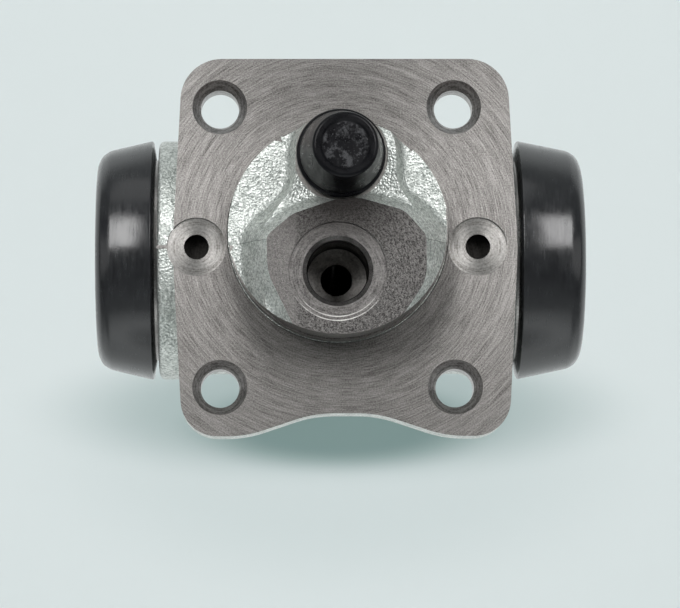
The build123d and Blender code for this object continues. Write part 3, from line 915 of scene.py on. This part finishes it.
@dataclass
class Casting:
    """The cast cylinder body, dressed surface by surface. Sizes along Y are taken from
    the flange face, forwards on the boss and backwards in the flange."""

    flange_mm: float = 6.5
    bolt_mm: Pair = (17.5, 21.0)
    bolt_radius_mm: float = 2.88
    countersink_mm: float = 4.1
    dowel_mm: float = 21.0
    dowel_radius_mm: float = 1.86
    dowel_start_mm: float = 0.31        # just in front of the spotface's floor
    spotface_mm: float = 4.4
    spotface_end_mm: float = 4.0        # just behind the dowel hole's floor
    spigot_mm: Pair = (0.1, 2.1)
    spigot_radius_mm: float = 16.35
    spigot_step_mm: float = 0.25        # the boss is this much smaller past its register
    register_mm: float = 3.4
    groove_mm: Pair = (0.7, 0.4)        # width and depth that hold the groove round the boss
    port_ring_mm: float = 7.25
    port_face_mm: float = 10.2
    port_hole_mm: float = 4.65          # just outside the wall of the hole
    port_start_mm: float = 9.89         # just behind the floor of the ring
    port_end_mm: float = 12.0
    seat_radius_mm: float = 7.0
    seat_height_mm: float = 7.2
    bleed_hole_mm: float = 4.6
    hole_end_mm: float = 6.0            # what lies deeper belongs to the barrel
    bore_mouth_mm: float = 13.6         # just outside the bevels at the bore's ends
    slack_mm: float = 0.02
    wall_slack_mm: float = 0.04
    flat: float = 0.999                 # a flat face's normal points more than this along Y,
    sideways: float = 0.01              # that of a wall square to the flange less than this,
    steep: float = 0.1                  # and that of the inlet's wall less than this

    def finishes(self) -> list[bpy.types.Material]:
        """Makes the casting's materials, in the order of Region.

        Returns:
            One material for each region.
        """
        inlet = (INLET_MM[0], 0, INLET_MM[1])
        finish = {
            # rough, light grey and glittering
            Region.CAST: CastSkin(),
            # close fine marks, mid grey, with a fan of light on each side of the boss
            Region.FACE: TurnedMetal(
                "turned_iron_face",
                pale="#a5a29f",
                deep="#5a5755",
                centre_mm=(0.4, 0, 1.3),
                feed_mm=0.16,
                streaks=8.0,
                roughness=0.47,
                stretch=0.6,
                speck_mm=0.22,
                speck_depth_mm=0.016,
                calm=0.28,
                banding=0.3,
            ),
            # smooth drilled walls that catch one bright streak each
            Region.BOLT_HOLE: TurnedMetal(
                "drilled_iron_holes",
                pale="#b9b5b3",
                deep="#5f5b5a",
                centre_mm=(self.bolt_mm[0], 0, self.bolt_mm[1]),
                folded=True,
                feed_mm=0.28,
                streaks=1.2,
                roughness=0.33,
                stretch=0.5,
                calm=0.25,
            ),
            # pale cuts that flash where their spotfaces meet the light
            Region.DOWEL_HOLE: TurnedMetal(
                "spotfaced_iron",
                pale="#cfccc9",
                deep="#7d7a76",
                centre_mm=(self.dowel_mm, 0, 0),
                folded=True,
                streaks=0.8,
                roughness=0.34,
                stretch=0.65,
                calm=0.26,
            ),
            # a dull ring, pitted, with painted shade under the bleed cap and a painted highlight in
            # pieces on its edge
            Region.PORT: PaintedLightMetal(
                "turned_iron_port_with_painted_light",
                pale="#918e8c",
                deep="#434140",
                centre_mm=inlet,
                streaks=3.0,
                roughness=0.42,
                speck_mm=0.2,
                speck_depth_mm=0.03,
                glint_mm=6.7,
            ),
            # dark in its pits, so that its marks hardly show; painted shade under the bleed cap, a
            # painted highlight on its edge and a painted sheen to the left
            Region.PORT_FLAT: PaintedLightMetal(
                "faced_iron_lump_with_painted_light",
                pale="#757371",
                deep="#2e2c2c",
                centre_mm=inlet,
                feed_mm=0.25,
                streaks=22.0,
                roughness=0.46,
                speck_mm=0.18,
                speck_depth_mm=0.06,
                calm=0.22,
                banding=0.0,
                glint_mm=7.32,
                sheen_mm=-6.0,
            ),
            # painted shade: coloured close to black for the shade deep in the hole; the pin holes
            # and the thread take it too
            Region.PORT_WALL: TurnedMetal(
                "threaded_iron_hole_painted_shade", pale="#3a3836", deep="#1f1e1d", centre_mm=inlet, streaks=2.0
            ),
            # painted light: the drill's cone at the bottom of the dark hole, coloured paler than the
            # wall where light reaches it
            Region.PORT_CONE: TurnedMetal(
                "drilled_iron_cone_painted_light",
                pale="#d0cdc9",
                deep="#85827e",
                centre_mm=inlet,
                streaks=2.0,
                roughness=0.42,
                stretch=0.5,
            ),
            # plain turned iron, seen only as a rim round the cap
            Region.SEAT: TurnedMetal(
                "spotfaced_iron_seat", centre_mm=(BLEED_MM[0], 0, BLEED_MM[1]), streaks=3.0
            ),
            # smooth walls of the bore and necks under the boots
            Region.BORE: TurnedMetal(
                "bored_iron",
                pale="#a3a19f",
                deep="#757270",
                centre_mm=(0, BORE_DEPTH_MM, 0),
                turn=(0, 0, -QUARTER_TURN),
                streaks=2.0,
                roughness=0.3,
            ),
        }
        return [finish[region].make() for region in Region]

    def regions(self, centres: np.ndarray, normals: np.ndarray) -> np.ndarray:
        """Tells which finish each triangle has.

        Args:
            centres: Triangle centres, in millimetres.
            normals: Their normals.

        Returns:
            A Region's number for each triangle.
        """
        x, y, z = centres.T
        slack = self.slack_mm
        ahead = normals[:, 1] < -self.flat
        sideways = np.abs(normals[:, 1]) < self.sideways
        steep = np.abs(normals[:, 1]) < self.steep
        spigot, port, bleed = (
            np.hypot(x - px, z - pz) for px, pz in (self.spigot_mm, INLET_MM, BLEED_MM)
        )
        bolt = np.hypot(np.abs(x) - self.bolt_mm[0], np.abs(z) - self.bolt_mm[1])
        dowel = np.hypot(np.abs(x) - self.dowel_mm, z)
        bore = np.hypot(y - BORE_DEPTH_MM, z)

        found = np.full(len(x), Region.CAST.value)
        found[bore < self.bore_mouth_mm] = Region.BORE.value
        found[(np.abs(x) > SHOULDER_MM + slack) & (y > 0)] = Region.BORE.value

        groove_width, groove_depth = self.groove_mm
        big, small = self.spigot_radius_mm, self.spigot_radius_mm - self.spigot_step_mm
        for radius in (big, small):
            wall = sideways & (np.abs(spigot - radius) < self.wall_slack_mm)
            found[wall & (y < groove_depth)] = Region.FACE.value
        step = (spigot > small - slack) & (spigot < big)
        found[ahead & step & (np.abs(y + self.register_mm) < slack)] = Region.FACE.value
        found[ahead & (np.abs(y) < slack)] = Region.FACE.value
        groove = (spigot > big - slack) & (spigot < big + groove_width)
        found[groove & (y > -slack) & (y < groove_depth)] = Region.FACE.value

        wall = np.abs(bolt - self.bolt_radius_mm) < self.wall_slack_mm
        drilled = wall | (y < self.flange_mm + slack)
        found[(bolt < self.countersink_mm) & (y > slack) & drilled] = Region.BOLT_HOLE.value
        spotface = (dowel < self.spotface_mm + slack) & (y > slack)
        found[spotface & (y < self.spotface_end_mm)] = Region.DOWEL_HOLE.value

        level = np.abs(y + self.port_face_mm) < slack
        found[ahead & level] = Region.PORT_FLAT.value
        ring = (port < self.port_ring_mm + slack) & (y > -self.port_face_mm)
        found[ring & (y < self.hole_end_mm)] = Region.PORT.value
        inside = (port < self.port_hole_mm) & (y > -self.port_start_mm) & (y < self.port_end_mm)
        # the hole's wall gets the finish with painted shade, its cone the one with painted light
        found[inside & steep] = Region.PORT_WALL.value
        found[inside & ~steep] = Region.PORT_CONE.value
        # the pin holes take the inlet wall's painted shade too
        pin_hole = (dowel < self.dowel_radius_mm + slack) & (y > self.dowel_start_mm)
        found[pin_hole & (y < self.hole_end_mm)] = Region.PORT_WALL.value

        level = np.abs(y + self.seat_height_mm) < slack
        found[ahead & level & (bleed < self.seat_radius_mm + slack)] = Region.SEAT.value
        hole = (bleed < self.bleed_hole_mm) & (y > -self.seat_height_mm)
        found[hole & (y < self.hole_end_mm)] = Region.SEAT.value
        return found

    def build(self) -> None:
        """Dresses the casting."""
        piece = dress("cylinder_body", *self.finishes())
        count = len(piece.data.polygons)
        centres = np.empty(count * 3, np.float32)
        normals = np.empty(count * 3, np.float32)
        piece.data.polygons.foreach_get("center", centres)
        piece.data.polygons.foreach_get("normal", normals)
        found = self.regions(centres.reshape(-1, 3) / MM, normals.reshape(-1, 3))
        piece.data.polygons.foreach_set("material_index", found.astype(np.int32))
        LOG.info("cylinder_body: %d triangles", count)


@dataclass
class Boot:
    """A dust boot: a wall that stays where it is, and a fold that moves with its piston."""

    side: int
    half_length_mm: float = 31.0        # of the barrel, neck included
    neck_mm: float = 15.4
    bead_start_mm: float = 28.4
    bead_width_mm: float = 1.7
    bead_depth_mm: float = 0.9
    lip_gap_mm: float = 0.5
    lip_slant_mm: float = 0.45
    lip_mm: float = 18.4
    lip_round_mm: float = 0.3
    wall_mm: float = 1.7
    end_gap_mm: float = 0.3             # room between the barrel's end and the wall
    root_mm: float = 0.6                # how far the wall's root inside stands off the neck
    root_round_mm: float = 0.5
    end_mm: float = 16.5
    end_round_mm: float = 3.0
    inner_round_mm: float = 1.3
    reach_mm: float = 5.9
    mouth_mm: float = 12.3
    mouth_round_mm: float = 0.6
    lap_mm: Pair = (0.7, 1.8)           # wall and fold meet this far off the mouth, out and in
    fold_mm: float = 9.4
    fold_start_mm: float = 31.2
    fold_width_mm: float = 1.5
    fold_round_mm: float = 0.2
    nose_mm: float = 10.6
    turn_mm: Pair = (0.9, 1.4)          # the fold turns this far off the nose, out and in
    turn_round_mm: Pair = (0.5, 0.8)
    bend_depth_mm: float = 0.5          # where the fold's inner side bends behind the mouth
    bend_height_mm: float = 0.1
    bend_round_mm: float = 0.5
    clearance_mm: float = 0.04
    bending_end_mm: float = 0.2         # a length measured from the wall's end
    crinkle_mm: float = 5.0
    crinkle_depth_mm: float = 0.10
    crinkle_sink: float = 0.6           # mean depth of the crinkles, as a share
    crinkle_shift: float = 7.0          # sets the two boots' crinkles apart
    smooth_mm: Pair = (0.7, 1.0)        # no crinkles so near to the neck and to the end
    steps: int = 144
    round_steps_per_mm: int = 4
    ring_slack_mm: float = 1e-3

    @property
    def word(self) -> str:
        """Name of the side."""
        return "left" if self.side == LEFT else "right"

    @property
    def face_mm(self) -> float:
        """How far out the flat end stands."""
        return self.half_length_mm + self.reach_mm + self.side * SPRING_MIDDLE_MM

    def spun(self, corners: list[Point]) -> bmesh.types.BMesh:
        """Turns a closed outline about the bore and rounds its corners.

        Args:
            corners: Distance along the bore, radius and rounding of each corner.

        Returns:
            The closed shape.
        """
        shape = bmesh.new()
        axis_y = BORE_DEPTH_MM * MM
        points = [
            shape.verts.new((self.side * along * MM, axis_y, radius * MM))
            for along, radius, _ in corners
        ]
        lines = [shape.edges.new((points[i - 1], points[i])) for i in range(len(points))]
        bmesh.ops.spin(
            shape,
            geom=points + lines,
            cent=(0, axis_y, 0),
            axis=(1, 0, 0),
            dvec=(0, 0, 0),
            angle=2 * math.pi,
            steps=self.steps,
            use_merge=True,
            use_duplicate=False,
        )
        bmesh.ops.remove_doubles(shape, verts=shape.verts, dist=SAME_POINT)
        count = len(corners)
        for index, (along, radius, rounding) in enumerate(corners):
            if not rounding:
                continue
            here = Vector((along, radius))
            before = (Vector(corners[index - 1][:2]) - here).normalized()
            after = (Vector(corners[(index + 1) % count][:2]) - here).normalized()
            setback = rounding / math.tan(before.angle(after) / 2)
            ring = [
                edge
                for edge in shape.edges
                if all(self.is_on_ring(vert.co, along, radius) for vert in edge.verts)
            ]
            bmesh.ops.bevel(
                shape,
                geom=ring,
                offset=setback * MM,
                offset_type="OFFSET",
                segments=max(2, round(rounding * self.round_steps_per_mm)),
                profile=0.5,
                affect="EDGES",
                material=-1,
                clamp_overlap=False,
            )
        bmesh.ops.remove_doubles(shape, verts=shape.verts, dist=SAME_POINT)
        bmesh.ops.recalc_face_normals(shape, faces=shape.faces)
        return shape

    def is_on_ring(self, point: Vector, along: float, radius: float) -> bool:
        """Tells whether a point is on a corner's ring.

        Args:
            point: The point, in metres.
            along: The ring's distance along the bore.
            radius: The ring's radius.

        Returns:
            True if it is.
        """
        off_side = abs(self.side * point.x / MM - along)
        off_radius = abs(math.hypot(point.y / MM - BORE_DEPTH_MM, point.z / MM) - radius)
        return max(off_side, off_radius) < self.ring_slack_mm

    def crinkle(self, shape: bmesh.types.BMesh) -> None:
        """Makes the wall a little uneven, as soft rubber is.

        Args:
            shape: The wall.
        """
        lowest = self.neck_mm + self.smooth_mm[0]
        farthest = self.face_mm - self.smooth_mm[1]
        shift = Vector((0, 0, self.crinkle_shift * self.side))
        for vert in shape.verts:
            out = Vector((0, vert.co.y - BORE_DEPTH_MM * MM, vert.co.z))
            if out.length / MM > lowest and abs(vert.co.x) / MM < farthest:
                wave = noise.noise(vert.co / (self.crinkle_mm * MM) + shift) - self.crinkle_sink
                vert.co += out.normalized() * wave * self.crinkle_depth_mm * MM

    def build(self, rubber: bpy.types.Material) -> None:
        """Makes the boot.

        Args:
            rubber: Its finish.
        """
        neck = self.neck_mm + self.clearance_mm
        bead = neck - self.bead_depth_mm
        bead_start = self.bead_start_mm + self.clearance_mm
        bead_end = self.bead_start_mm + self.bead_width_mm - self.clearance_mm
        over_end = self.half_length_mm + self.end_gap_mm
        lip_inner = SHOULDER_MM + self.lip_gap_mm
        face = self.face_mm
        inner = face - self.wall_mm
        lap_out, lap_in = (self.mouth_mm + lap for lap in self.lap_mm)
        wall = [
            (lip_inner, neck, 0),
            (lip_inner + self.lip_slant_mm, self.lip_mm, self.lip_round_mm),
            (face, self.end_mm, self.end_round_mm),
            (face, lap_out, 0),
            (inner, lap_in, 0),
            (inner, self.end_mm - self.wall_mm, self.inner_round_mm),
            (over_end, neck + self.root_mm, self.root_round_mm),
            (over_end, neck, 0),
            (bead_end, neck, 0),
            (bead_end, bead, 0),
            (bead_start, bead, 0),
            (bead_start, neck, 0),
        ]
        shape = self.spun(wall)
        self.crinkle(shape)
        boot = finish_piece(f"boot_wall_{self.word}", shape, rubber)
        group = f"piston_{self.word}_group"
        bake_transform(boot)
        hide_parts(f"dust_boot_{self.word}")

        fold_start = self.fold_start_mm + self.side * SPRING_MIDDLE_MM + self.clearance_mm
        fold_end = fold_start + self.fold_width_mm - 2 * self.clearance_mm
        fold_radius = self.fold_mm + self.clearance_mm
        turn_out, turn_in = (self.nose_mm + turn for turn in self.turn_mm)
        round_out, round_in = self.turn_round_mm
        bend = self.mouth_mm + self.bend_height_mm
        fold = [
            (face, lap_out, 0),
            (face, self.mouth_mm, self.mouth_round_mm),
            (fold_end, turn_out, round_out),
            (fold_end, fold_radius, self.fold_round_mm),
            (fold_start, fold_radius, self.fold_round_mm),
            (fold_start, turn_in, round_in),
            (inner - self.bend_depth_mm, bend, self.bend_round_mm),
            (inner, lap_in, 0),
        ]
        piece = finish_piece(f"boot_fold_{self.word}", self.spun(fold), rubber)
        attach(piece, group)
        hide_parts(f"dust_boot_{self.word}")


@dataclass
class Spring:
    """The wire spring between the pistons, made in two halves that meet in the middle."""

    wire_mm: float = 1.3
    wire_sides: int = 12
    radius_mm: float = 7.0
    half_length_mm: float = 8.41
    half_turns: float = 3.0
    end_turns: float = 1.0
    end_pitch: float = 1.02             # of an end turn, in wire widths
    steps_per_turn: int = 40

    def build(self, wire: bpy.types.Material) -> None:
        """Makes both halves.

        Args:
            wire: Their finish.
        """
        upright = Matrix.Rotation(QUARTER_TURN, 3, "X")
        closed = self.end_turns * self.wire_mm * self.end_pitch
        rest = self.half_length_mm - closed
        travels = ((self.end_turns, closed), (self.half_turns - self.end_turns, rest))
        for side, word in ((LEFT, "left"), (RIGHT, "right")):
            shape = bmesh.new()
            radius = self.wire_mm / 2 * MM
            bmesh.ops.create_circle(shape, cap_ends=True, segments=self.wire_sides, radius=radius)
            bmesh.ops.rotate(shape, cent=(0, 0, 0), matrix=upright, verts=shape.verts)
            start = (SPRING_MIDDLE_MM + side * self.half_length_mm, BORE_DEPTH_MM, self.radius_mm)
            bmesh.ops.translate(shape, vec=Vector(start) * MM, verts=shape.verts)
            last = list(shape.faces) + list(shape.edges) + list(shape.verts)
            for turns, travel in travels:
                steps = round(turns * self.steps_per_turn)
                last = bmesh.ops.spin(
                    shape,
                    geom=last,
                    cent=(0, BORE_DEPTH_MM * MM, 0),
                    axis=(side, 0, 0),
                    dvec=(-side * travel / steps * MM, 0, 0),
                    angle=turns * 2 * math.pi,
                    steps=steps,
                    use_merge=False,
                    use_duplicate=False,
                )["geom_last"]
            bmesh.ops.recalc_face_normals(shape, faces=shape.faces)
            piece = finish_piece(f"spring_half_{word}", shape, wire)
            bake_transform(piece)
            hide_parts("expander_spring")


@dataclass
class InletThread:
    """The thread inside the inlet port, one ridge wound down the plain hole."""

    wall_mm: float = 4.6
    bury_mm: float = 0.05               # the ridge's root stands this deep in the wall
    root_share: float = 0.42            # half the root's width, in pitches
    crest_mm: float = 4.42
    crest_half_mm: float = 0.06
    pitch_mm: float = 1.0
    top_mm: float = 8.5
    turns: int = 9
    steps_per_turn: int = 48

    def build(self, iron: bpy.types.Material) -> None:
        """Makes the ridge.

        Args:
            iron: Its finish.
        """
        shape = bmesh.new()
        root, half = self.wall_mm + self.bury_mm, self.pitch_mm * self.root_share
        crest, tip = self.crest_mm, self.crest_half_mm
        x, z = INLET_MM
        points = [
            shape.verts.new(((x + radius) * MM, (-self.top_mm + along) * MM, z * MM))
            for radius, along in ((root, -half), (crest, -tip), (crest, tip), (root, half))
        ]
        profile = shape.faces.new(points)
        bmesh.ops.spin(
            shape,
            geom=[profile, *profile.edges, *profile.verts],
            cent=(x * MM, 0, z * MM),
            axis=(0, 1, 0),
            dvec=(0, self.pitch_mm / self.steps_per_turn * MM, 0),
            angle=self.turns * 2 * math.pi,
            steps=self.turns * self.steps_per_turn,
            use_merge=False,
            use_duplicate=False,
        )
        bmesh.ops.recalc_face_normals(shape, faces=shape.faces)
        piece = finish_piece("inlet_thread", shape, iron)
        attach(piece, "cylinder")


@dataclass
class Insides:
    """Pistons, seals, spring seats, bleed screw and its cap, whose solids are right as
    they are and only get their finishes."""

    cap_top_mm: Point = (0.94, -18.0, BLEED_MM[1])
    cap_top_radius_mm: float = 3.5
    cap_top_depth_mm: float = 1.5

    def build(self) -> None:
        """Dresses each solid."""
        about_bore = {"centre_mm": (0, BORE_DEPTH_MM, 0), "turn": (0, 0, -QUARTER_TURN)}
        # clean, pale and smooth
        piston = TurnedMetal(
            "turned_aluminium",
            pale="#d3d4d6",
            deep="#a9abad",
            streaks=2.0,
            roughness=0.3,
            **about_bore,
        ).make()
        # pale with a trace of yellow from the plating, as is the screw
        sheet = TurnedMetal(
            "zinc_plated_sheet", pale="#d8d8d0", deep="#a5a59c", roughness=0.3, **about_bore
        ).make()
        screw = TurnedMetal(
            "zinc_plated_steel",
            pale="#cfcfc8",
            deep="#98988f",
            centre_mm=(BLEED_MM[0], 0, BLEED_MM[1]),
            feed_mm=0.4,
            streaks=2.0,
            roughness=0.3,
        ).make()
        # wet with fluid, so smooth and evenly black
        seal = MouldedRubber("smooth_black_rubber", roughness=0.35).make()
        # dull black all over, with grey dust on its outer end
        cap = MouldedRubber(
            "dusty_black_rubber",
            black="#060608",
            wear_and_painted_light="#0b0b0e",
            roughness=0.30,
            shine=0.13,
            dust=Dust(self.cap_top_mm, self.cap_top_radius_mm, self.cap_top_depth_mm, amount=0.62),
        ).make()
        for word in ("left", "right"):
            dress(f"piston_{word}", piston)
            dress(f"cup_seal_{word}", seal)
            dress(f"spring_seat_{word}", sheet)
        dress("bleed_screw", screw)
        dress("bleed_cap", cap)
        LOG.info("pistons, seals, seats, bleed screw and cap dressed")


def main() -> None:
    """Builds the studio and dresses the part."""
    logging.basicConfig(level=logging.INFO, format="%(message)s")
    camera = StudioCamera()
    camera.build()
    studio = Studio()
    studio.build_room()
    studio.build_sweep(camera)
    studio.build_lights()
    Casting().build()
    Insides().build()
    # handled and rubbed, so it shines softly in streaks round the bore
    rubber = MouldedRubber(
        "satin_black_rubber", roughness=0.21, scuff_mm=0.25, skin_depth_mm=0.012, shine=0.54
    ).make()
    for side in (LEFT, RIGHT):
        Boot(side).build(rubber)
    Spring().build(
        TurnedMetal("drawn_spring_wire", pale="#a6a6a6", deep="#7d7d7d", roughness=0.35).make()
    )
    # the thread takes the hole's painted shade
    InletThread().build(bpy.data.materials["threaded_iron_hole_painted_shade"])


if __name__ == "__main__":
    main()
